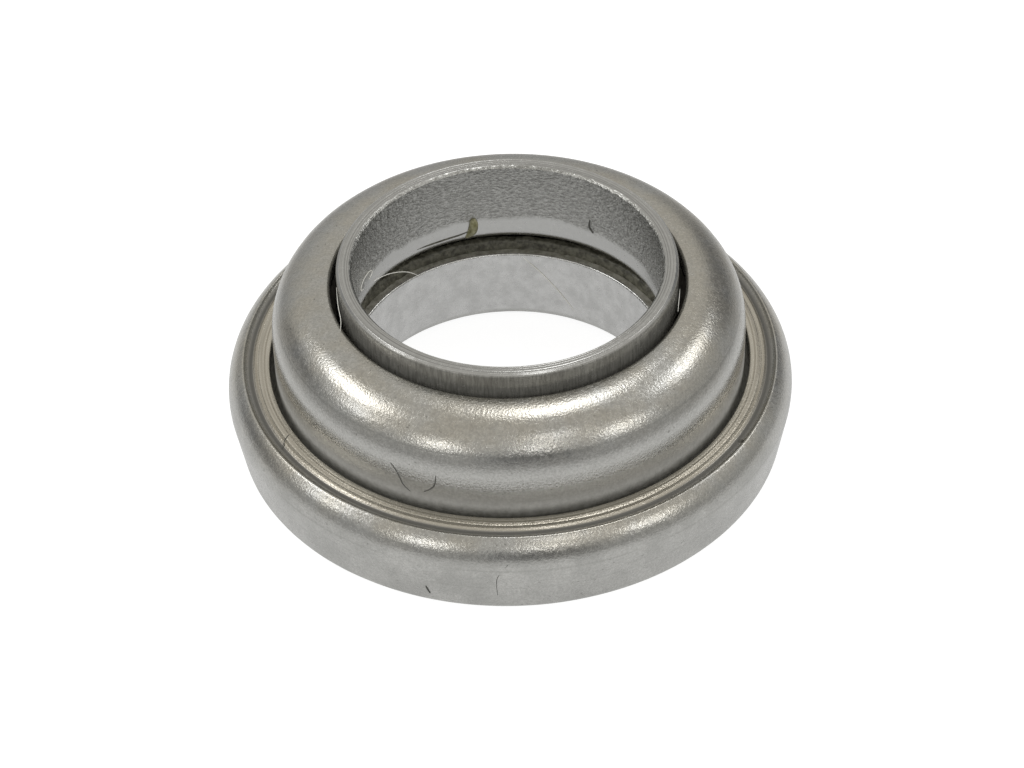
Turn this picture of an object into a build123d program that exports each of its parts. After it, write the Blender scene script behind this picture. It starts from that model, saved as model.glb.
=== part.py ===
from build123d import *
from math import cos, radians, sin
import os

# Steering column bearing. A row of caged balls runs between a turned inner ring, which holds the
# shaft, and a pressed cup. A pressed shell closes the cup from below: its rim is rolled over the
# cup's flange, and its collar keeps the inner ring, the balls and the cage from dropping out.
# All sizes are in millimetres. Z is the shaft's axis, and Z = 0 is the flat end of the shell.

# Inner ring
bore_radius = 12.0
ring_wall = 1.2
ring_stand = 1.6          # height of the ring's end above the cup
ring_chamfer = 0.22
flange_thickness = 1.15
flange_reach = 1.05       # from the ball circle out to the flange's edge
flange_chamfer = 0.2
ring_bend = 2.0           # rounding from the bore to the flange's underside

# Balls and their races
ball_diameter = 3.572
ball_count = 18
contact_angle = 45.0
inner_race_ratio = 0.652  # race radius over ball diameter
outer_race_ratio = 0.812
race_clearance = 0.02

# Cage, a cone of sheet with a round pocket for each ball
cage_sheet = 0.6
pocket_clearance = 0.1
cage_inner_rail = 0.35    # sheet left between a pocket and the cone's small end
cage_outer_rail = 0.45

# Cup
cup_sheet = 1.2
lip_clearance = 0.55      # between the cup's lip and the ring
lip_rounding = 0.3
neck_fillet = 0.6
skirt_bend = 0.25
skirt_inset = 0.25        # from the widest part of the shell's hollow to the skirt
skirt_clearance = 0.03

# Shell
shell_sheet = 1.1
shell_bend = 0.2
shell_height = 7.05       # at the crown
wall_taper = 9.5          # degrees by which the wall narrows towards its foot
foot_rounding = 0.7
bead_rounding = 3.0       # outside of the bead, where the wall is rolled over
crown_slope = 55.7        # degrees by which the bead leans back where it ends at the crown
rim_gap = 0.6             # between the cup's neck and the rim's edge
collar_height = 6.8
collar_clearance = 0.15   # between the collar and the shaft
ring_gap = 1.15           # between the collar and the ring's underside

# Form that the roller leaves on top of the shell's rim
land_width = 0.9
land_drop = 0.1
groove_width = 1.0
groove_depth = 0.3
rim_edge_rounding = 0.08
crown_edge_rounding = 0.15

edge_break = 0.12         # rounding on cut edges of the sheet

# Races, worked outwards from the ring's wall and upwards from the collar
contact = (cos(radians(contact_angle)), sin(radians(contact_angle)))
ball_radius = ball_diameter / 2
ball_reach = ball_radius + race_clearance
inner_race = inner_race_ratio * ball_diameter
outer_race = outer_race_ratio * ball_diameter

ring_radius = bore_radius + ring_wall
ring_underside = collar_height + ring_gap
flange_top = ring_underside + flange_thickness
inner_race_centre = (ring_radius + inner_race, flange_top + inner_race)
ball_circle = inner_race_centre[0] - (inner_race - ball_reach) * contact[0]
ball_height = inner_race_centre[1] - (inner_race - ball_reach) * contact[1]
flange_radius = ball_circle + flange_reach

outer_race_centre = (
    ball_circle - (outer_race - ball_reach) * contact[0],
    ball_height - (outer_race - ball_reach) * contact[1],
)
neck_inside = outer_race_centre[0] + outer_race
neck_radius = neck_inside + cup_sheet
lip_radius = ring_radius + lip_clearance
cup_inside_top = outer_race_centre[1] + outer_race
cup_top = cup_inside_top + cup_sheet
ring_top = cup_top + ring_stand

# Shell, worked outwards from the cup's neck
rim_edge = neck_radius + rim_gap
ridge_radius = rim_edge + land_width
crown_radius = ridge_radius + groove_width
land_level = shell_height - land_drop
rim_underside = shell_height - shell_sheet
collar_radius = bore_radius + collar_clearance
taper = (cos(radians(wall_taper)), sin(radians(wall_taper)))
bead_centre = (
    crown_radius - bead_rounding * cos(radians(crown_slope)),
    shell_height - bead_rounding * sin(radians(crown_slope)),
)
shell_radius = bead_centre[0] + bead_rounding
bead_top = bead_centre[1] + bead_rounding

# The cup's skirt stands on the taper of the shell's wall
cup_flange_underside = rim_underside - cup_sheet
skirt_outside = shell_radius - shell_sheet - skirt_inset
skirt_inside = skirt_outside - cup_sheet
skirt_lean = (skirt_outside + skirt_clearance - bead_centre[0]) * taper[0]
skirt_foot = bead_centre[1] + (skirt_lean - bead_rounding + shell_sheet) / taper[1]


def turn(section):
    """Turn a section of the X-Z plane about the shaft's axis."""
    return revolve(Plane.XZ * section, Axis.Z)


def corner_near(section, point):
    """The section's corner that lies nearest to the point."""
    return min(section.vertices(), key=lambda corner: (Vector(corner) - Vector(*point)).length)


def round_corner(section, point, radius):
    return fillet(corner_near(section, point), radius)


def sheet_section(inside, bends, sheet):
    """Section of a pressed sheet, to the left of a line of square turns along its inside.

    Each bend is given by the radius on its hollow side. Its other side is rounder by the sheet.
    """
    inside = [Vector(*point) for point in inside]
    runs = [(end - start).normalized() for start, end in zip(inside, inside[1:])]
    steps = [run.rotate(Axis.Z, 90) * sheet for run in runs]
    turns = [point + before + after for point, before, after in zip(inside[1:], steps, steps[1:])]
    outside = [inside[0] + steps[0], *turns, inside[-1] + steps[-1]]
    section = make_face(Polyline(*inside, *reversed(outside), close=True))
    for corner, bend in enumerate(bends, start=1):
        hollow_outside = runs[corner - 1].cross(runs[corner]).Z > 0
        inside_radius, outside_radius = bend, bend + sheet
        if hollow_outside:
            inside_radius, outside_radius = outside_radius, inside_radius
        section = round_corner(section, inside[corner], inside_radius)
        section = round_corner(section, outside[corner], outside_radius)
    return section


def inner_ring():
    race = CenterArc(inner_race_centre, inner_race, 180, 90)
    bend_centre = (bore_radius + ring_bend, ring_underside + ring_bend)
    bend = CenterArc(bend_centre, ring_bend, 180, 90)
    flange = Polyline(
        race @ 1, (flange_radius, flange_top), (flange_radius, ring_underside), bend @ 1
    )
    wall = Polyline(bend @ 0, (bore_radius, ring_top), (ring_radius, ring_top), race @ 0)
    section = make_face(race + flange + bend + wall)
    for rim_corner in (bore_radius, ring_top), (ring_radius, ring_top):
        section = chamfer(corner_near(section, rim_corner), ring_chamfer)
    for edge_corner in (flange_radius, flange_top), (flange_radius, ring_underside):
        section = chamfer(corner_near(section, edge_corner), flange_chamfer)
    return turn(section)


def upper_cup():
    section = sheet_section(
        [
            (lip_radius, cup_inside_top),
            (neck_inside, cup_inside_top),
            (neck_inside, cup_flange_underside),
            (skirt_inside, cup_flange_underside),
            (skirt_inside, skirt_foot),
        ],
        [outer_race, neck_fillet, skirt_bend],
        cup_sheet,
    )
    section = round_corner(section, (lip_radius, cup_top), lip_rounding)
    section = round_corner(section, (lip_radius, cup_inside_top), edge_break)
    section = round_corner(section, (skirt_outside, skirt_foot), edge_break)
    section = round_corner(section, (skirt_inside, skirt_foot), edge_break)
    return turn(section)


def block(inner, outer, bottom, top):
    """Section of a plain ring between two radii and two heights."""
    return Pos((inner + outer) / 2, (bottom + top) / 2) * Rectangle(outer - inner, top - bottom)


def wall_reach(height, inset):
    """Radius of the shell's tapered wall, the inset inside it."""
    rise = (height - bead_centre[1]) * taper[1]
    return bead_centre[0] + (bead_rounding - inset + rise) / taper[0]


def drum(inset, foot, collar_bend):
    """Section from the collar out to the wall and its bead, with all sides drawn in by the inset."""
    inner, top = collar_radius + inset, bead_top - inset
    foot_corner = (wall_reach(inset, inset), inset)
    bead_corner = (wall_reach(top, inset), top)
    section = make_face(Polyline((inner, inset), foot_corner, bead_corner, (inner, top), close=True))
    section = round_corner(section, bead_corner, bead_rounding - inset)
    section = round_corner(section, foot_corner, foot)
    return round_corner(section, (inner, inset), collar_bend)


def roller_form():
    """Section that the roller presses out of the rim's top: a flat land and a round groove."""
    land = block(rim_edge, ridge_radius, land_level, bead_top)
    groove_round = ((groove_width / 2) ** 2 + groove_depth**2) / (2 * groove_depth)
    groove_centre = (ridge_radius + groove_width / 2, shell_height - groove_depth + groove_round)
    return land + Pos(*groove_centre) * Circle(groove_round)


def lower_shell():
    collar_outside = collar_radius + shell_sheet
    hollow = drum(shell_sheet, shell_bend, shell_bend) & block(0, shell_radius, 0, rim_underside)
    section = drum(0, foot_rounding, shell_bend + shell_sheet) - hollow
    section -= block(0, collar_outside, collar_height, bead_top)
    section -= block(collar_outside, rim_edge, rim_underside, bead_top)
    section -= roller_form()
    section = round_corner(section, (crown_radius, shell_height), crown_edge_rounding)
    section = round_corner(section, (rim_edge, land_level), rim_edge_rounding)
    section = round_corner(section, (collar_radius, collar_height), edge_break)
    section = round_corner(section, (collar_outside, collar_height), edge_break)
    return turn(section)


def ball_places():
    """Each ball's centre, evenly spaced on the ball circle."""
    return PolarLocations(ball_circle, ball_count)


def ball_cage():
    """The cone stands square to the line through each ball's two contacts."""
    small_end = ball_radius + pocket_clearance + cage_inner_rail
    large_end = ball_radius + pocket_clearance + cage_outer_rail
    middle = (small_end - large_end) / 2
    band = Rectangle(small_end + large_end, cage_sheet)
    slope = Pos(ball_circle, ball_height) * Rot(0, 0, contact_angle + 90) * Pos(middle, 0)
    cage = turn(slope * band)
    pocket = Rot(0, 90 - contact_angle, 0) * Cylinder(ball_radius + pocket_clearance, 4 * cage_sheet)
    for place in ball_places():
        cage -= Pos(0, 0, ball_height) * place * pocket
    return cage


parts = {
    "inner_ring": inner_ring(),
    "upper_cup": upper_cup(),
    "lower_shell": lower_shell(),
    "ball_cage": ball_cage(),
}
for number, place in enumerate(ball_places(), start=1):
    parts[f"ball_{number:02d}"] = Pos(0, 0, ball_height) * place * Sphere(ball_radius)

os.makedirs("parts", exist_ok=True)
for name, shape in parts.items():
    export_step(shape, f"parts/{name}.step")

print(f"ball circle {ball_circle:.4f}, ball height {ball_height:.4f}, ring top {ring_top:.4f}")
print(f"neck {neck_radius:.4f}, cup top {cup_top:.4f}, shell radius {shell_radius:.4f}")
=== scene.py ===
from math import asin, atan2, ceil, cos, degrees, pi, radians, sin, sqrt, tan

import bmesh
import bpy
from mathutils import Matrix, Vector
from mathutils.geometry import intersect_sphere_sphere_2d


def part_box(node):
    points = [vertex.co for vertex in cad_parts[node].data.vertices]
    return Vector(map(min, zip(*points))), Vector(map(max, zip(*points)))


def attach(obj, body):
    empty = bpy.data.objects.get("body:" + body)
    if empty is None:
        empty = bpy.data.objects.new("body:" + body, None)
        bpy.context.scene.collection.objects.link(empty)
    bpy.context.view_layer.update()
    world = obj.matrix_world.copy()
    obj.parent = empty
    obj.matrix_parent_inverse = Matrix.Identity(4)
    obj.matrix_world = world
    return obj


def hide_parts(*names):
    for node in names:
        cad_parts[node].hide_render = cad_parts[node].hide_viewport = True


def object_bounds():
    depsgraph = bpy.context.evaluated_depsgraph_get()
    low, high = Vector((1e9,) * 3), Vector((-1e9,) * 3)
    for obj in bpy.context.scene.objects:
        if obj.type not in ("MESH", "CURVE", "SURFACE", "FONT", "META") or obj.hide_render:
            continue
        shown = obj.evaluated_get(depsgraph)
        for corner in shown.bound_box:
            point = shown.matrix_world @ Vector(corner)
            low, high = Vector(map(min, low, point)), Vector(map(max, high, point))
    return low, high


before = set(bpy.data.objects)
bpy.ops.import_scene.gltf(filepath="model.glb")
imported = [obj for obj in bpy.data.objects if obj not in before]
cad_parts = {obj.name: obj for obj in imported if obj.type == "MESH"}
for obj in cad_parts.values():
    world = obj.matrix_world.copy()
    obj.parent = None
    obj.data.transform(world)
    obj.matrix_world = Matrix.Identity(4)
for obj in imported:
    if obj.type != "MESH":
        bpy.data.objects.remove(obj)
cad_low, cad_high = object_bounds()


# Upper cup. A round blank of steel sheet is drawn into a cup with a full, round shoulder, and its
# middle is pierced to a lip that stands close to the ring. It was tumbled after pressing, so its
# skin is satin and finely speckled. It is a little browner on top than on its neck: brown patches
# of its own, kept to the upward faces as painted warm reflection of the ceiling.
mm = 0.001
cup_low, cup_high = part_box("upper_cup")
cup_sheet = 1.2 * mm
lip_radius = 13.75 * mm
lip_rounding = 0.3 * mm
neck_radius = 18.4857 * mm
neck_fillet = 0.6 * mm
shoulder_rounding = 4.1 * mm
shell_height = 7.05 * mm
shell_sheet = 1.1 * mm
land_drop = 0.1 * mm
land_level = shell_height - land_drop
flange_top = shell_height - shell_sheet
flange_bend = 1.45 * mm
skirt_radius = cup_high.x
edge_break = 0.12 * mm

# Each pair is the dark and the light of a mottled colour.
tumbled_grey = (0.47, 0.468, 0.45), (0.63, 0.627, 0.605)
# The brown is partly the steel's own patches and partly painted warm reflection of the ceiling.
brown_and_painted_reflection = (0.46, 0.437, 0.385), (0.62, 0.597, 0.54)
drawn_line_grey = (0.30, 0.30, 0.285)
pit_dark = (0.16, 0.155, 0.14)
speckle_dark = (0.26, 0.26, 0.245)
grime_pale = (0.55, 0.552, 0.54), (0.69, 0.692, 0.68)
# The deep grime colour is painted shade of the crevice at the neck's foot.
grime_in_painted_shade = (0.13, 0.127, 0.11), (0.23, 0.227, 0.205)


def rounded(corners):
    """A closed outline through (radius, height, rounding) corners, each rounded off by an arc."""
    degrees_a_point = 7
    outline = []
    for place, (radius, height, rounding) in enumerate(corners):
        corner = Vector((radius, height))
        back = (Vector(corners[place - 1][:2]) - corner).normalized()
        ahead = (Vector(corners[(place + 1) % len(corners)][:2]) - corner).normalized()
        half = back.angle(ahead) / 2
        if not rounding:
            outline.append(corner)
            continue
        centre = corner + (back + ahead).normalized() * rounding / sin(half)
        spoke = corner + back * rounding / tan(half) - centre
        sweep = spoke.angle_signed(corner + ahead * rounding / tan(half) - centre)
        steps = ceil(abs(sweep) / radians(degrees_a_point))
        for turn in range(steps + 1):
            outline.append(centre + Matrix.Rotation(-sweep * turn / steps, 2) @ spoke)
    return outline


def closely(outline, gap):
    """The same outline with points added, so that none is further than the gap from the next."""
    points = []
    for start, end in zip(outline, outline[1:] + outline[:1]):
        count = max(1, ceil((end - start).length / gap))
        points += [start.lerp(end, step / count) for step in range(count)]
    return points


def node(tree, kind, inputs=(), **settings):
    """Adds a node. Its inputs are values, or the outputs that feed them."""
    made = tree.nodes.new(kind)
    for setting, value in settings.items():
        setattr(made, setting, value)
    for name, value in dict(inputs).items():
        if isinstance(value, bpy.types.NodeSocket):
            tree.links.new(value, made.inputs[name])
        else:
            made.inputs[name].default_value = value
    return made


def math(tree, operation, *values):
    return node(tree, "ShaderNodeMath", enumerate(values), operation=operation).outputs[0]


def turning_tree():
    """Turns an outline, drawn in the X-Z plane, about the shaft's axis, and dents the skin a little."""
    tree = bpy.data.node_groups.new("turned_round", "GeometryNodeTree")
    for name, kind in (
        ("Outline", "NodeSocketGeometry"),
        ("Steps Around", "NodeSocketInt"),
        ("Dent Depth", "NodeSocketFloat"),
        ("Dent Width", "NodeSocketFloat"),
        ("Seed", "NodeSocketFloat"),
        ("Finish", "NodeSocketMaterial"),
    ):
        tree.interface.new_socket(name, in_out="INPUT", socket_type=kind)
    tree.interface.new_socket("Geometry", in_out="OUTPUT", socket_type="NodeSocketGeometry")
    given = tree.nodes.new("NodeGroupInput").outputs
    # The outline is swept along a circle, so it is first laid out as seen from that circle.
    path_radius = 0.01
    place = node(tree, "ShaderNodeSeparateXYZ", {0: node(tree, "GeometryNodeInputPosition").outputs[0]})
    flat = node(tree, "ShaderNodeCombineXYZ", {
        "X": math(tree, "SUBTRACT", place.outputs["X"], path_radius),
        "Y": math(tree, "MULTIPLY", place.outputs["Z"], -1.0),
    })
    laid = node(tree, "GeometryNodeSetPosition", {
        "Geometry": given["Outline"], "Position": flat.outputs[0],
    })
    profile = node(tree, "GeometryNodeMeshToCurve", {"Mesh": laid.outputs[0]})
    path = node(tree, "GeometryNodeCurvePrimitiveCircle", {
        "Resolution": given["Steps Around"], "Radius": path_radius,
    })
    swept = node(tree, "GeometryNodeCurveToMesh", {
        "Curve": path.outputs["Curve"], "Profile Curve": profile.outputs[0],
    })
    dents = node(tree, "ShaderNodeTexNoise", {
        "Vector": node(tree, "GeometryNodeInputPosition").outputs[0],
        "W": given["Seed"],
        "Scale": math(tree, "DIVIDE", 1.0, given["Dent Width"]),
        "Detail": 2.0,
    }, noise_dimensions="4D")
    share = node(tree, "GeometryNodeInputNamedAttribute", {"Name": "relief"}, data_type="FLOAT")
    height = math(tree, "MULTIPLY", math(tree, "SUBTRACT", dents.outputs["Fac"], 0.5), given["Dent Depth"])
    push = node(tree, "ShaderNodeVectorMath", {
        0: node(tree, "GeometryNodeInputNormal").outputs[0],
        "Scale": math(tree, "MULTIPLY", height, share.outputs[0]),
    }, operation="SCALE")
    dented = node(tree, "GeometryNodeSetPosition", {
        "Geometry": swept.outputs[0], "Offset": push.outputs[0],
    })
    real = node(tree, "GeometryNodeRealizeInstances", {0: dented.outputs[0]})
    dressed = node(tree, "GeometryNodeSetMaterial", {
        "Geometry": real.outputs[0], "Material": given["Finish"],
    })
    out = tree.nodes.new("NodeGroupOutput")
    tree.links.new(dressed.outputs[0], out.inputs[0])
    return tree


turning = turning_tree()


def turned(name, outline, finish, steps_around, dent_depth, dent_width, seed, relief=lambda point: 1.0):
    """The solid that an outline makes when it is turned about the shaft's axis.

    The relief is the share of the dent depth that a point of the outline gets.
    """
    lines = bpy.data.meshes.new(name)
    count = len(outline)
    lines.from_pydata(
        [(point.x, 0, point.y) for point in outline],
        [(index, (index + 1) % count) for index in range(count)],
        [],
    )
    share = lines.attributes.new("relief", "FLOAT", "POINT")
    share.data.foreach_set("value", [relief(point) for point in outline])
    piece = bpy.data.objects.new(name, lines)
    bpy.context.scene.collection.objects.link(piece)
    lathe = piece.modifiers.new("turning", "NODES")
    lathe.node_group = turning
    given = {
        "Steps Around": steps_around, "Dent Depth": dent_depth, "Dent Width": dent_width,
        "Seed": seed, "Finish": finish,
    }
    for item in turning.interface.items_tree:
        if item.name in given:
            lathe[item.identifier] = given[item.name]
    evaluated = piece.evaluated_get(bpy.context.evaluated_depsgraph_get())
    solid = bpy.data.meshes.new_from_object(evaluated)
    piece.modifiers.clear()
    piece.data = solid
    shape = bmesh.new()
    shape.from_mesh(solid)
    bmesh.ops.recalc_face_normals(shape, faces=shape.faces)
    shape.to_mesh(solid)
    shape.free()
    solid.shade_smooth()
    return piece


def new_finish(name, metallic=1.0):
    """A finish to build on: the material, its tree, its shader, and the point that is shaded."""
    finish = bpy.data.materials.new(name)
    finish.use_nodes = True
    tree = finish.node_tree
    shader = tree.nodes["Principled BSDF"]
    shader.inputs["Metallic"].default_value = metallic
    return finish, tree, shader, node(tree, "ShaderNodeTexCoord").outputs["Object"]


def feed(tree, shader, **outputs):
    """Links outputs to the shader's sockets, which are named with a _ for each space."""
    for socket, output in outputs.items():
        tree.links.new(output, shader.inputs[socket.replace("_", " ")])


def radius_and_height(tree, place):
    x, y, height = node(tree, "ShaderNodeSeparateXYZ", {0: place}).outputs
    squares = math(tree, "ADD", math(tree, "MULTIPLY", x, x), math(tree, "MULTIPLY", y, y))
    return math(tree, "SQRT", squares), height


def texture_noise(tree, place, size, detail=2.0, roughness=0.5):
    """Noise, from 0 to 1, whose features are about as wide as the size."""
    return node(tree, "ShaderNodeTexNoise", {
        "Vector": place, "Scale": 1 / size, "Detail": detail, "Roughness": roughness,
    }).outputs["Fac"]


def spread(tree, value, low, high, to_low=0.0, to_high=1.0):
    """The value, eased from to_low where it is low, to to_high where it is high."""
    return node(tree, "ShaderNodeMapRange", {
        "Value": value, "From Min": low, "From Max": high, "To Min": to_low, "To Max": to_high,
    }, interpolation_type="SMOOTHSTEP").outputs[0]


def blended(tree, share, one, other):
    """A colour between two others. Each is a colour or an output."""
    mix = node(tree, "ShaderNodeMix", data_type="RGBA")
    for socket, value in ((mix.inputs[0], share), (mix.inputs[6], one), (mix.inputs[7], other)):
        if isinstance(value, bpy.types.NodeSocket):
            tree.links.new(value, socket)
        else:
            socket.default_value = (*value, 1.0)
    return mix.outputs[2]


def bumped(tree, height, depth, under=None):
    """The skin's direction where a height is pressed into it, on top of any skin under it."""
    inputs = {"Height": height, "Strength": 1.0, "Distance": depth}
    if under:
        inputs["Normal"] = under
    return node(tree, "ShaderNodeBump", inputs).outputs[0]


def lines_around(tree, place, width, waver=6 * mm):
    """Noise drawn out along the circumference, as a roller or a tool leaves it."""
    radius, height = radius_and_height(tree, place)
    drift = texture_noise(tree, place, waver, detail=1.0)
    across = node(tree, "ShaderNodeCombineXYZ", {
        "X": radius, "Y": height, "Z": math(tree, "MULTIPLY", drift, 1.5 * width),
    }).outputs[0]
    return texture_noise(tree, across, width, detail=1.0)


def facing_up(tree):
    """How far a surface faces up, from 0 on a wall to 1 on top."""
    facing = node(tree, "ShaderNodeSeparateXYZ", {0: node(tree, "ShaderNodeTexCoord").outputs["Normal"]})
    return spread(tree, facing.outputs["Z"], 0.15, 0.75)


def tumbled(tree, place):
    """Colour, roughness and skin of pressed steel tumbled with its fellows, with painted warm reflection
    on top.
    """
    patches = texture_noise(tree, place, 4 * mm, detail=3.0, roughness=0.6)
    mottle = texture_noise(tree, place, 0.45 * mm, detail=3.0, roughness=0.7)
    drawn = lines_around(tree, place, 0.3 * mm)
    pits = texture_noise(tree, place, 0.3 * mm, detail=1.0)
    speckle = texture_noise(tree, place, 0.18 * mm, detail=2.0, roughness=0.6)
    grey = blended(tree, mottle, *tumbled_grey)
    brown = blended(tree, mottle, *brown_and_painted_reflection)
    # Brown patches show only on upward faces, which paints the warm reflection of the ceiling there.
    brown_patches_and_painted_reflection = math(tree, "MULTIPLY", spread(tree, patches, 0.3, 0.65), facing_up(tree))
    colour = blended(tree, brown_patches_and_painted_reflection, grey, brown)
    colour = blended(tree, spread(tree, drawn, 0.55, 0.75, 0.0, 0.3), colour, drawn_line_grey)
    colour = blended(tree, spread(tree, pits, 0.70, 0.80, 0.0, 0.6), colour, pit_dark)
    colour = blended(tree, spread(tree, speckle, 0.3, 0.7, 0.35, 0.0), colour, speckle_dark)
    polish = spread(tree, mottle, 0.3, 0.7, 0.19, 0.29)
    skin = bumped(tree, speckle, 0.02 * mm, bumped(tree, drawn, 0.005 * mm))
    return colour, polish, skin


def cup_finish():
    """Tumbled steel, with dull grime that is painted darker towards the neck's foot, as shade of the
    crevice.
    """
    finish, tree, shader, place = new_finish("tumbled_cup_steel")
    height = radius_and_height(tree, place)[1]
    colour, polish, skin = tumbled(tree, place)
    clots = spread(tree, texture_noise(tree, place, 0.5 * mm, detail=4.0, roughness=0.7), 0.3, 0.7)
    # Painted shade: the grime darkens towards the crevice at the neck's foot.
    painted_crevice_shade = spread(tree, height, land_level - 0.2 * mm, land_level + 0.9 * mm)
    grime_and_painted_shade = blended(
        tree, painted_crevice_shade, blended(tree, clots, *grime_in_painted_shade), blended(tree, clots, *grime_pale))
    grime = spread(tree, height, land_level + 0.2 * mm, land_level + 2.0 * mm, 0.9, 0.0)
    dulled = spread(tree, height, land_level + 0.8 * mm, land_level + 3.6 * mm, 0.62, 0.0)
    feed(
        tree, shader, Base_Color=blended(tree, grime, colour, grime_and_painted_shade),
        Metallic=spread(tree, grime, 0.0, 1.0, 1.0, 0.2),
        Roughness=math(tree, "MAXIMUM", polish, dulled), Normal=skin,
    )
    return finish


cup_outline = rounded([
    (lip_radius, cup_high.z, lip_rounding),
    (neck_radius, cup_high.z, shoulder_rounding),
    (neck_radius, flange_top, neck_fillet),
    (skirt_radius, flange_top, flange_bend),
    (skirt_radius, cup_low.z, edge_break),
    (skirt_radius - cup_sheet, cup_low.z, edge_break),
    (skirt_radius - cup_sheet, flange_top - cup_sheet, flange_bend - cup_sheet),
    (neck_radius - cup_sheet, flange_top - cup_sheet, neck_fillet + cup_sheet),
    (neck_radius - cup_sheet, cup_high.z - cup_sheet, shoulder_rounding - cup_sheet),
    (lip_radius, cup_high.z - cup_sheet, edge_break),
])
upper_cup = turned(
    "upper_cup_sheet", closely(cup_outline, 0.4 * mm), cup_finish(),
    steps_around=540, dent_depth=0.03 * mm, dent_width=4 * mm, seed=1.0,
)
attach(upper_cup, "outer")
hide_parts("upper_cup")


# Inner ring. It is turned from bar, and the shaft is pressed into it. Its end face and small
# chamfers keep fine tool lines, the upper bore is as rough as orange peel, and the bore is
# smooth in a band above the bend that carries the balls.
ring_low, ring_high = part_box("inner_ring")
bore_radius = 12.0 * mm
ring_wall = 1.2 * mm
ring_radius = bore_radius + ring_wall
ring_chamfer = 0.22 * mm
ring_bend = 2.0 * mm
ball_flange_top = ring_low.z + 1.15 * mm
ball_flange_chamfer = 0.2 * mm
inner_race = 2.329 * mm
smooth_band_top = 10.8 * mm
tool_line_radii = 12.36 * mm, 12.56 * mm, 12.82 * mm
tool_line_width = 0.08 * mm
tool_line_depth = 0.02 * mm
turned_edge = 0.05 * mm

turned_grey = (0.46, 0.46, 0.45), (0.58, 0.58, 0.565)
peel_grey = (0.31, 0.31, 0.295), (0.49, 0.49, 0.47)
# The outer wall's streaks are its own, and its dark grey is painted reflection of the cup round it.
streaks_on_painted_reflection = (0.20, 0.197, 0.18), (0.34, 0.335, 0.31)
tool_line_dark = (0.22, 0.22, 0.21)
grease_film = (0.34, 0.33, 0.29)


def stretched(tree, place, share):
    """The point with its height scaled, so that a pattern's features are drawn out or flattened."""
    return node(tree, "ShaderNodeMapping", {"Vector": place, "Scale": (1, 1, share)}).outputs[0]


def ring_finish():
    """Turned steel, with peel in the upper bore, streaks outside on painted dark reflection, and a greasy
    underside.
    """
    finish, tree, shader, place = new_finish("turned_ring_steel")
    radius, height = radius_and_height(tree, place)
    inside = spread(tree, radius, bore_radius + 0.1 * mm, bore_radius + 0.25 * mm, 1.0, 0.0)
    outside = spread(tree, radius, ring_radius - 0.12 * mm, ring_radius - 0.04 * mm)
    on_end = spread(tree, height, ring_high.z - 0.08 * mm, ring_high.z - 0.02 * mm)
    greasy = spread(tree, height, ring_low.z + 0.1 * mm, ring_low.z + 0.9 * mm, 1.0, 0.0)
    waver = texture_noise(tree, place, 2.5 * mm, detail=4.0, roughness=0.6)
    band_edge = math(tree, "ADD", height, math(tree, "MULTIPLY", waver, 1.4 * mm))
    above_band = spread(tree, band_edge, smooth_band_top + 0.4 * mm, smooth_band_top + 1.0 * mm)
    rough = math(tree, "MULTIPLY", inside, above_band)

    mottle = texture_noise(tree, place, 0.5 * mm, detail=3.0, roughness=0.6)
    peel = texture_noise(tree, stretched(tree, place, 1.7), 0.34 * mm, detail=3.0, roughness=0.6)
    tool = lines_around(tree, place, 0.14 * mm, waver=20 * mm)
    streaks = texture_noise(tree, stretched(tree, place, 0.12), 0.16 * mm, detail=3.0, roughness=0.7)
    peeled = blended(tree, spread(tree, peel, 0.3, 0.7), *peel_grey)
    streaked_painted_reflection = blended(tree, spread(tree, streaks, 0.3, 0.7), *streaks_on_painted_reflection)
    tooled = math(tree, "MULTIPLY", on_end, spread(tree, tool, 0.45, 0.7, 0.0, 0.7))
    colour = blended(tree, mottle, *turned_grey)
    colour = blended(tree, rough, colour, peeled)
    colour = blended(tree, tooled, colour, tool_line_dark)
    colour = blended(tree, outside, colour, streaked_painted_reflection)
    colour = blended(tree, greasy, colour, grease_film)

    # The outer wall is made dull and dark grey here, as painted reflection of the cup round it.
    dulled_share = math(tree, "MAXIMUM", greasy, math(tree, "MULTIPLY", outside, 0.75))
    skin = bumped(tree, math(tree, "MULTIPLY", peel, rough), 0.1 * mm)
    skin = bumped(tree, math(tree, "MULTIPLY", streaks, outside), 0.012 * mm, skin)
    smooth = math(tree, "SUBTRACT", 1.0, rough)
    skin = bumped(tree, math(tree, "MULTIPLY", tool, smooth), 0.005 * mm, skin)
    feed(
        tree, shader, Base_Color=colour, Metallic=spread(tree, dulled_share, 0.0, 1.0, 1.0, 0.2),
        Roughness=spread(tree, mottle, 0.3, 0.7, 0.18, 0.28), Normal=skin,
    )
    return finish


def scored(radius, level, wide, deep):
    """Corners of a fine V-shaped line that a tool or a roller leaves in a flat face."""
    return [(radius - wide / 2, level, 0), (radius, level - deep, 0), (radius + wide / 2, level, 0)]


def bore_relief(point):
    """Only the bore above its smooth band is as rough as peel. The rest is nearly even."""
    in_bore = point.x < bore_radius + 0.01 * mm
    return 1.0 if in_bore and smooth_band_top < point.y < ring_high.z - 2 * ring_chamfer else 0.05


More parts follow.
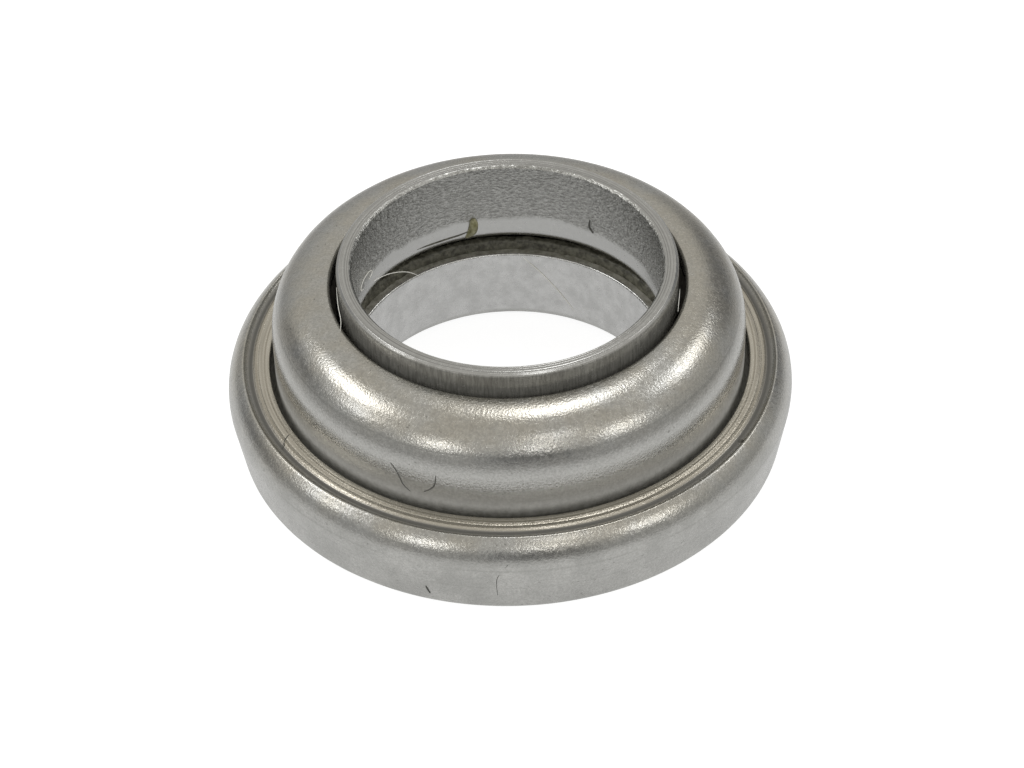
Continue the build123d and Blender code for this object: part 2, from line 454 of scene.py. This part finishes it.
tool_lines = [
    corner for radius in tool_line_radii
    for corner in scored(radius, ring_high.z, tool_line_width, tool_line_depth)
]
ring_outline = rounded([
    (bore_radius + ring_chamfer, ring_high.z, turned_edge),
    *tool_lines,
    (ring_radius - ring_chamfer, ring_high.z, turned_edge),
    (ring_radius, ring_high.z - ring_chamfer, 0.12 * mm),
    (ring_radius, ball_flange_top, inner_race),
    (ring_high.x - ball_flange_chamfer, ball_flange_top, turned_edge),
    (ring_high.x, ball_flange_top - ball_flange_chamfer, turned_edge),
    (ring_high.x, ring_low.z + ball_flange_chamfer, turned_edge),
    (ring_high.x - ball_flange_chamfer, ring_low.z, turned_edge),
    (bore_radius, ring_low.z, ring_bend),
    (bore_radius, ring_high.z - ring_chamfer, 0.06 * mm),
])
inner_ring = turned(
    "inner_ring_turned", closely(ring_outline, 0.24 * mm), ring_finish(),
    steps_around=500, dent_depth=0.08 * mm, dent_width=0.5 * mm, seed=2.0, relief=bore_relief,
)
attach(inner_ring, "ring")
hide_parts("inner_ring")


# Balls and cage. The balls are hardened, ground steel. The cage is thin sheet, punched with a
# pocket for each ball. Both sit in grease and barely show through the gap round the ring.
ground_grey = (0.50, 0.50, 0.50), (0.62, 0.62, 0.61)
punched_brown = (0.22, 0.21, 0.19), (0.36, 0.35, 0.32)


def ball_finish():
    finish, tree, shader, place = new_finish("ground_ball_steel")
    haze = texture_noise(tree, place, 0.8 * mm, detail=3.0)
    feed(
        tree, shader, Base_Color=blended(tree, haze, *ground_grey),
        Roughness=spread(tree, haze, 0.3, 0.7, 0.10, 0.20),
    )
    return finish


def cage_finish():
    finish, tree, shader, place = new_finish("punched_cage_steel")
    haze = texture_noise(tree, place, 0.5 * mm, detail=3.0)
    feed(
        tree, shader, Base_Color=blended(tree, haze, *punched_brown),
        Roughness=spread(tree, haze, 0.3, 0.7, 0.35, 0.50), Normal=bumped(tree, haze, 0.02 * mm),
    )
    return finish


ball_steel, cage_steel = ball_finish(), cage_finish()
for name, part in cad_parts.items():
    if name.startswith("ball_"):
        part.data.materials.clear()
        part.data.materials.append(cage_steel if name == "ball_cage" else ball_steel)


# Lower shell. One pressing of steel sheet closes the cup from below. Its rim is rolled over the
# cup's flange, which leaves a tan land with fine roller lines, a groove, and a crown with one
# nick in it. Its middle is drawn up into the smooth collar round the shaft.
shell_bend = 0.2 * mm
foot_rounding = 0.7 * mm
wall_taper = 9.5
bead_rounding = 3.0 * mm
crown_slope = 55.7
crown_edge_rounding = 0.15 * mm
collar_radius = 12.15 * mm
collar_top = 6.8 * mm
collar_outside = collar_radius + shell_sheet
rim_gap = 0.4 * mm
land_inner = neck_radius + rim_gap
land_rounding = 0.1 * mm
fine_line = 19.76 * mm
groove_inner = neck_radius + 1.5 * mm
groove_width = 1.0 * mm
groove_depth = 0.3 * mm
groove_floor = shell_height - groove_depth
valley_middle = 20.45 * mm
valley_end = 20.92 * mm
nick_reach = 0.08 * mm, 0.26 * mm

land_tan = (0.42, 0.387, 0.325), (0.62, 0.587, 0.515)
valley_dark = (0.07, 0.068, 0.06), (0.17, 0.165, 0.15)
wall_cloud = (0.33, 0.33, 0.315)
collar_grey = (0.55, 0.55, 0.54), (0.66, 0.66, 0.65)
inside_grease = (0.27, 0.262, 0.22), (0.46, 0.45, 0.40)
nick_dark = (0.10, 0.095, 0.08)

# The groove is an arc through both its edges and its floor, and the bead is tangent to the wall.
groove_rounding = ((groove_width / 2) ** 2 + groove_depth ** 2) / (2 * groove_depth)
groove_centre = Vector((groove_inner + groove_width / 2, groove_floor + groove_rounding))
groove_start = groove_centre.x - sqrt(groove_rounding ** 2 - (groove_centre.y - land_level) ** 2)
bead_centre = Vector((
    groove_inner + groove_width - bead_rounding * cos(radians(crown_slope)),
    shell_height - bead_rounding * sin(radians(crown_slope)),
))
crown_edge_centre = max(intersect_sphere_sphere_2d(
    groove_centre, groove_rounding + crown_edge_rounding,
    bead_centre, bead_rounding - crown_edge_rounding,
), key=lambda centre: centre.x)


def at(azimuth, radius, height):
    """A point given by its azimuth in degrees, where 0 faces the camera, and two sizes in mm."""
    turn = radians(azimuth)
    return Vector((radius * sin(turn), -radius * cos(turn), height)) * mm


def shell_finish():
    """Tumbled steel, with the rolled rim, the smooth collar and the greasy inside."""
    finish, tree, shader, place = new_finish("rolled_shell_steel")
    radius, height = radius_and_height(tree, place)
    on_top = spread(tree, height, groove_floor - 0.15 * mm, groove_floor - 0.05 * mm)
    before_groove = spread(tree, radius, groove_start + 0.08 * mm, groove_start + 0.24 * mm, 1.0, 0.0)
    before_crown = spread(tree, radius, valley_middle, valley_end, 1.0, 0.0)
    on_land = math(tree, "MULTIPLY", on_top, before_groove)
    in_groove = math(tree, "SUBTRACT", math(tree, "MULTIPLY", on_top, before_crown), on_land)
    on_wall = math(tree, "SUBTRACT", 1.0, facing_up(tree))
    near_collar = spread(tree, radius, collar_outside - 0.25 * mm, collar_outside + 0.05 * mm, 1.0, 0.0)
    on_collar = math(tree, "MULTIPLY", near_collar, spread(tree, height, 0.6 * mm, 1.2 * mm))
    past_collar = spread(tree, radius, collar_radius + 0.1 * mm, collar_radius + 0.2 * mm)
    before_rim = spread(tree, radius, land_inner - 0.05 * mm, land_inner + 0.01 * mm, 1.0, 0.0)
    inside = math(tree, "MULTIPLY", past_collar, before_rim)
    greasy = math(tree, "MULTIPLY", inside, spread(tree, height, 0.6 * mm, 1.1 * mm))
    from_nick = node(tree, "ShaderNodeVectorMath", {
        0: place, 1: at(57.8, 20.62, 6.8),
    }, operation="DISTANCE").outputs["Value"]

    clouds = texture_noise(tree, place, 2.5 * mm, detail=4.0, roughness=0.6)
    rolled = lines_around(tree, place, 0.16 * mm)
    smudges = texture_noise(tree, place, 1.2 * mm, detail=4.0, roughness=0.65)
    clots = texture_noise(tree, place, 0.6 * mm, detail=3.0, roughness=0.65)
    clouded = math(tree, "MULTIPLY", on_wall, spread(tree, clouds, 0.3, 0.7, 0.0, 0.5))
    land = blended(tree, spread(tree, rolled, 0.3, 0.7), *land_tan)
    collar = blended(tree, spread(tree, smudges, 0.3, 0.7), *collar_grey)
    grease = blended(tree, spread(tree, clots, 0.35, 0.65), *inside_grease)
    colour, polish, skin = tumbled(tree, place)
    colour = blended(tree, clouded, colour, wall_cloud)
    colour = blended(tree, in_groove, colour, blended(tree, rolled, *valley_dark))
    colour = blended(tree, on_land, colour, land)
    colour = blended(tree, on_collar, colour, collar)
    colour = blended(tree, spread(tree, from_nick, *nick_reach, 0.8, 0.0), colour, nick_dark)
    colour = blended(tree, greasy, colour, grease)

    dulled_share = math(tree, "MAXIMUM", greasy, in_groove)
    skin = bumped(tree, math(tree, "MULTIPLY", rolled, on_land), 0.03 * mm, skin)
    skin = bumped(tree, spread(tree, from_nick, *nick_reach), 0.12 * mm, skin)
    feed(
        tree, shader, Base_Color=colour, Metallic=spread(tree, dulled_share, 0.0, 1.0, 1.0, 0.25),
        Roughness=math(tree, "MAXIMUM", polish, math(tree, "MULTIPLY", dulled_share, 0.5)), Normal=skin,
    )
    return finish


def wall_reach(height, inset):
    """Radius of the tapered wall at a height, the inset inside it."""
    rise = (height - bead_centre.y) * sin(radians(wall_taper))
    return bead_centre.x + (bead_rounding - inset + rise) / cos(radians(wall_taper))


def angle_to(centre, point):
    """The angle, in degrees up from the outward direction, at which a centre sees a point."""
    return degrees(atan2(point.y - centre.y, point.x - centre.x))


degrees_a_step = 5


def arc(centre, rounding, first, last):
    """Corners along an arc from one angle to another, in degrees up from the outward direction."""
    steps = ceil(abs(last - first) / degrees_a_step)
    corners = []
    for step in range(steps + 1):
        angle = radians(first + (last - first) * step / steps)
        corners.append((centre.x + rounding * cos(angle), centre.y + rounding * sin(angle), 0))
    return corners


# Where one arc runs on into the next, the second starts half a step late, so no point is doubled.
groove_first = angle_to(groove_centre, Vector((groove_start, land_level)))
groove_last = angle_to(groove_centre, crown_edge_centre)
bead_first = angle_to(bead_centre, crown_edge_centre)
inside_last = degrees(asin((flange_top - bead_centre.y) / (bead_rounding - shell_sheet)))
shell_outline = rounded([
    *scored(fine_line, land_level, 0.08 * mm, 0.03 * mm),
    (groove_start, land_level, 0.06 * mm),
    *arc(groove_centre, groove_rounding, groove_first + degrees_a_step, groove_last),
    *arc(crown_edge_centre, crown_edge_rounding, groove_last + 180 - degrees_a_step / 2, bead_first),
    *arc(bead_centre, bead_rounding, bead_first - degrees_a_step / 2, -wall_taper),
    (wall_reach(0, 0), 0, foot_rounding),
    (collar_radius, 0, shell_sheet + shell_bend),
    (collar_radius, collar_top, edge_break),
    (collar_outside, collar_top, edge_break),
    (collar_outside, shell_sheet, shell_bend),
    (wall_reach(shell_sheet, shell_sheet), shell_sheet, shell_bend),
    *arc(bead_centre, bead_rounding - shell_sheet, -wall_taper, inside_last),
    (land_inner, flange_top, 0),
    (land_inner, land_level, land_rounding),
])
lower_shell = turned(
    "lower_shell_sheet", closely(shell_outline, 0.7 * mm), shell_finish(),
    steps_around=420, dent_depth=0.03 * mm, dent_width=4 * mm, seed=3.0,
)
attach(lower_shell, "outer")
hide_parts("lower_shell")


# Grease, lint and dirt. Old grease has crept out between the collar and the ring, and hangs in the
# bore as one drop with a thread. Dark hairs and pale lint cling to the grease and to the steel.
bead_grease = (0.055, 0.053, 0.038), (0.19, 0.185, 0.145)
drop_grease = (0.22, 0.21, 0.10), (0.56, 0.54, 0.34)
hair_colour = (0.13, 0.13, 0.12)
lint_colour = (0.85, 0.84, 0.78)


def grease_finish(name, dark, light):
    finish, tree, shader, place = new_finish(name, metallic=0.0)
    clots = spread(tree, texture_noise(tree, place, 0.5 * mm, detail=3.0, roughness=0.65), 0.3, 0.7)
    feed(tree, shader, Base_Color=blended(tree, clots, dark, light), Normal=bumped(tree, clots, 0.05 * mm))
    shader.inputs["Roughness"].default_value = 0.35
    return finish


def fibre_finish(name, colour, glow):
    """Hair or lint. A pale fibre lets the light through it, which its glow stands for."""
    finish, tree, shader, place = new_finish(name, metallic=0.0)
    dust = texture_noise(tree, place, 0.3 * mm, detail=2.0)
    darker = tuple(0.8 * share for share in colour)
    feed(tree, shader, Base_Color=blended(tree, dust, darker, colour))
    shader.inputs["Roughness"].default_value = 0.6
    shader.inputs["Emission Color"].default_value = (*colour, 1.0)
    shader.inputs["Emission Strength"].default_value = glow
    return finish


def strand(name, points, thickness, finish, body):
    """A thin round strand, pointed at both ends, that runs smoothly through the points.

    Each point has an azimuth, a radius and a height. These and the thickness are in mm.
    """
    line = bpy.data.curves.new(name, "CURVE")
    line.dimensions = "3D"
    line.bevel_depth = thickness * mm / 2
    line.bevel_resolution = 2
    run = line.splines.new("NURBS")
    run.points.add(len(points) - 1)
    for number, (point, place) in enumerate(zip(run.points, points)):
        point.co = (*at(*place), 1.0)
        point.radius = 0.5 if number in (0, len(points) - 1) else 1.0
    run.order_u = 3
    run.use_endpoint_u = True
    line.use_fill_caps = True
    drawn = bpy.data.objects.new(name, line)
    bpy.context.scene.collection.objects.link(drawn)
    solid = bpy.data.meshes.new_from_object(drawn.evaluated_get(bpy.context.evaluated_depsgraph_get()))
    bpy.data.objects.remove(drawn)
    solid.shade_smooth()
    solid.materials.clear()
    solid.materials.append(finish)
    piece = bpy.data.objects.new(name, solid)
    bpy.context.scene.collection.objects.link(piece)
    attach(piece, body)


old_grease = grease_finish("old_grease", *bead_grease)
bead_outline = rounded([
    (12.8 * mm, collar_top - 0.05 * mm, 0.05 * mm),
    (13.05 * mm, collar_top + 0.75 * mm, 0.25 * mm),
    (13.75 * mm, collar_top + 0.8 * mm, 0.3 * mm),
    (13.85 * mm, collar_top - 0.5 * mm, 0.2 * mm),
    (13.2 * mm, collar_top - 0.5 * mm, 0.05 * mm),
])
grease_bead = turned(
    "grease_bead", closely(bead_outline, 0.15 * mm), old_grease,
    steps_around=400, dent_depth=0.35 * mm, dent_width=0.9 * mm, seed=5.0,
)
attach(grease_bead, "outer")

fresh_grease = grease_finish("fresh_grease", *drop_grease)
strand("grease_drop", [
    (-167.0, 11.98, 10.9), (-167.3, 11.93, 10.55), (-167.2, 11.9, 10.1),
    (-166.3, 12.02, 9.6), (-164.6, 12.25, 9.1),
], 0.75, fresh_grease, "ring")
strand("grease_thread", [
    (-167.0, 12.01, 9.9), (-163.0, 12.05, 9.55), (-157.0, 12.07, 9.45),
    (-150.0, 12.08, 9.45), (-143.0, 12.05, 9.6),
], 0.13, old_grease, "ring")

dark_hair = fibre_finish("dark_hair", hair_colour, 0.0)
strand("hair_on_neck_left", [
    (-29.2, 18.5, 10.25), (-28.0, 18.5, 9.8), (-26.9, 18.5, 9.0),
    (-26.1, 18.5, 8.3), (-24.4, 18.5, 7.95),
], 0.07, dark_hair, "outer")
strand("hair_on_neck", [
    (-17.9, 18.5, 10.1), (-18.0, 18.5, 9.4), (-18.9, 18.5, 8.75), (-20.9, 18.5, 8.3),
], 0.12, dark_hair, "outer")
strand("hair_on_wall", [
    (-1.3, 22.22, 5.3), (-2.9, 22.3, 4.5), (-3.8, 22.17, 3.5), (-3.5, 21.89, 1.8),
], 0.06, dark_hair, "outer")
strand("dirt_on_wall", [
    (-17.8, 21.9, 1.95), (-17.6, 21.84, 1.6), (-17.1, 21.78, 1.15),
], 0.17, dark_hair, "outer")
strand("dirt_in_bore", [
    (146.1, 11.99, 11.95), (146.7, 11.99, 11.3), (145.6, 11.99, 10.95), (144.5, 11.99, 10.7),
], 0.14, dark_hair, "ring")
strand("hair_on_rim", [
    (-61.6, 19.4, 6.97), (-61.0, 19.8, 6.97), (-59.9, 20.1, 6.95), (-58.9, 20.5, 6.78),
], 0.07, dark_hair, "outer")

pale_lint = fibre_finish("pale_lint", lint_colour, 0.3)
strand("lint_across_collar", [
    (175.5, 12.2, 6.85), (171.0, 12.12, 5.9), (166.0, 12.1, 4.85),
    (159.8, 12.12, 3.35), (155.0, 12.12, 2.1), (150.2, 12.25, 0.75),
], 0.05, pale_lint, "outer")
strand("lint_over_gap", [
    (-117.0, 11.95, 9.9), (-124.0, 11.9, 9.5), (-133.0, 11.9, 8.6),
    (-140.0, 12.0, 7.6), (-143.4, 12.1, 6.75),
], 0.06, pale_lint, "outer")
strand("lint_curl", [
    (-110.5 - 6.0 * cos(radians(turn)), 11.96, 11.0 + 0.45 * sin(radians(turn)))
    for turn in range(-60, 270, 30)
], 0.05, pale_lint, "ring")
strand("lint_left", [
    (-81.9, 13.25, 15.4), (-78.0, 13.35, 14.9), (-74.0, 13.45, 14.6),
    (-69.0, 13.6, 14.45), (-65.0, 14.1, 14.45),
], 0.05, pale_lint, "outer")
strand("lint_right", [
    (81.2, 13.35, 14.5), (77.5, 13.4, 14.3), (74.0, 13.5, 14.2), (71.0, 13.65, 14.3),
], 0.05, pale_lint, "outer")


# Floor. A plain white surface, which shows white to the camera and keeps a faint soft shadow. In
# the steel it is white close to the part and greyer further off.
floor_size = 6.0
floor_gap = 0.01 * mm
floor_grey = (0.35, 0.35, 0.35, 1)


def floor_finish():
    finish = bpy.data.materials.new("white_floor")
    finish.use_nodes = True
    tree = finish.node_tree
    tree.nodes.clear()
    ray = node(tree, "ShaderNodeLightPath").outputs
    place = node(tree, "ShaderNodeTexCoord").outputs["Object"]
    away = node(tree, "ShaderNodeVectorMath", {0: place}, operation="LENGTH").outputs["Value"]
    mirrored = math(tree, "MAXIMUM", ray["Is Glossy Ray"], ray["Is Transmission Ray"])
    near = spread(tree, away, 24 * mm, 80 * mm, 0.55, 0.10)
    glow = math(tree, "ADD",
                math(tree, "MULTIPLY", ray["Is Camera Ray"], 0.885),
                math(tree, "MULTIPLY", mirrored, near))
    white = node(tree, "ShaderNodeEmission", {"Color": (1, 1, 1, 1), "Strength": glow})
    matt = node(tree, "ShaderNodeBsdfDiffuse", {"Color": floor_grey})
    both = node(tree, "ShaderNodeAddShader", {0: white.outputs[0], 1: matt.outputs[0]})
    out = node(tree, "ShaderNodeOutputMaterial")
    tree.links.new(both.outputs[0], out.inputs["Surface"])
    return finish


bpy.ops.mesh.primitive_plane_add(size=floor_size, location=(0, 0, cad_low.z - floor_gap))
floor = bpy.context.object
floor.name = "floor"
floor.data.materials.append(floor_finish())


# Light. A pale, slightly warm ceiling that darkens towards the horizon, three dark places in the
# room, and soft boxes round and above the part.
horizon = (0.46, 0.46, 0.45)
ceiling = (0.60, 0.585, 0.55)
dark_places = (9, 5, 26, 0.18), (140, 14, 28, 0.2), (-110, 2, 24, 0.22)


def aimed_from(azimuth, elevation, distance):
    """The point at a distance from the part. Azimuth 0 is towards the camera, 90 is towards +X."""
    side, rise = radians(azimuth), radians(elevation)
    return distance * Vector((sin(side) * cos(rise), -cos(side) * cos(rise), sin(rise)))


def surround():
    """The room. Each dark place has an azimuth, an elevation, a reach in degrees and a level."""
    world = bpy.data.worlds.new("studio")
    world.use_nodes = True
    tree = world.node_tree
    tree.nodes.clear()
    ray = node(tree, "ShaderNodeLightPath").outputs
    heading = node(tree, "ShaderNodeTexCoord").outputs["Generated"]
    rise = node(tree, "ShaderNodeSeparateXYZ", {0: heading}).outputs["Z"]
    level = blended(tree, spread(tree, rise, 0.1, 0.55), horizon, ceiling)
    for azimuth, elevation, reach, dark in dark_places:
        towards = aimed_from(azimuth, elevation, 1.0)
        closeness = node(tree, "ShaderNodeVectorMath", {0: heading, 1: towards}, operation="DOT_PRODUCT")
        share = spread(tree, closeness.outputs["Value"], cos(radians(reach)), cos(radians(reach / 4)))
        level = blended(tree, share, level, (dark, dark, dark))
    seen = blended(tree, ray["Is Camera Ray"], level, (1, 1, 1))
    sky = node(tree, "ShaderNodeBackground", {"Color": seen, "Strength": 1.0})
    out = node(tree, "ShaderNodeOutputWorld")
    tree.links.new(sky.outputs[0], out.inputs["Surface"])
    bpy.context.scene.world = world


def soft_box(name, azimuth, elevation, wide, tall, radiance, tilt=0.0):
    """An area lamp. Its width and height are the angles that it fills, seen from the part."""
    distance = 0.8
    lamp = bpy.data.lights.new(name, "AREA")
    lamp.shape = "ELLIPSE"
    lamp.size = 2 * distance * tan(radians(wide / 2))
    lamp.size_y = 2 * distance * tan(radians(tall / 2))
    lamp_area = lamp.size * lamp.size_y * pi / 4
    lamp.energy = radiance * lamp_area * pi
    box = bpy.data.objects.new(name, lamp)
    bpy.context.scene.collection.objects.link(box)
    box.location = aimed_from(azimuth, elevation, distance)
    box.rotation_euler = box.location.to_track_quat("Z", "Y").to_euler()
    box.rotation_euler.rotate_axis("Z", radians(tilt))


surround()
soft_box("lamp_left", -97, 46, 30, 15, 4.0)
soft_box("lamp_left_low", -75, 27, 12, 12, 3.0)
soft_box("lamp_front_left", -33, 25, 10, 13, 4.2)
soft_box("lamp_front_high", 21, 49, 12, 8, 3.0)
soft_box("lamp_front_low", 12, 30, 8, 9, 4.5)
soft_box("lamp_front_right", 52, 27, 12, 15, 3.2)
soft_box("lamp_right", 112, 43, 26, 12, 3.2)
soft_box("lamp_back", 160, 71, 11, 24, 5.0, tilt=12)


# Camera, at the height and angle of the photograph.
view_down = 41.643
view_distance = 241.66 * mm
view_roll = -1.45
aim = Vector((0.13, 0, 3.40)) * mm
lens = bpy.data.cameras.new("camera")
lens.sensor_width = 36
lens.lens = 106.7
lens.clip_start = 0.01
camera = bpy.data.objects.new("camera", lens)
bpy.context.scene.collection.objects.link(camera)
camera.location = aim + aimed_from(0, view_down, view_distance)
camera.rotation_euler = (radians(90 - view_down), 0, 0)
camera.rotation_euler.rotate_axis("Z", radians(view_roll))
bpy.context.scene.camera = camera
bpy.context.scene.view_settings.view_transform = "Standard"
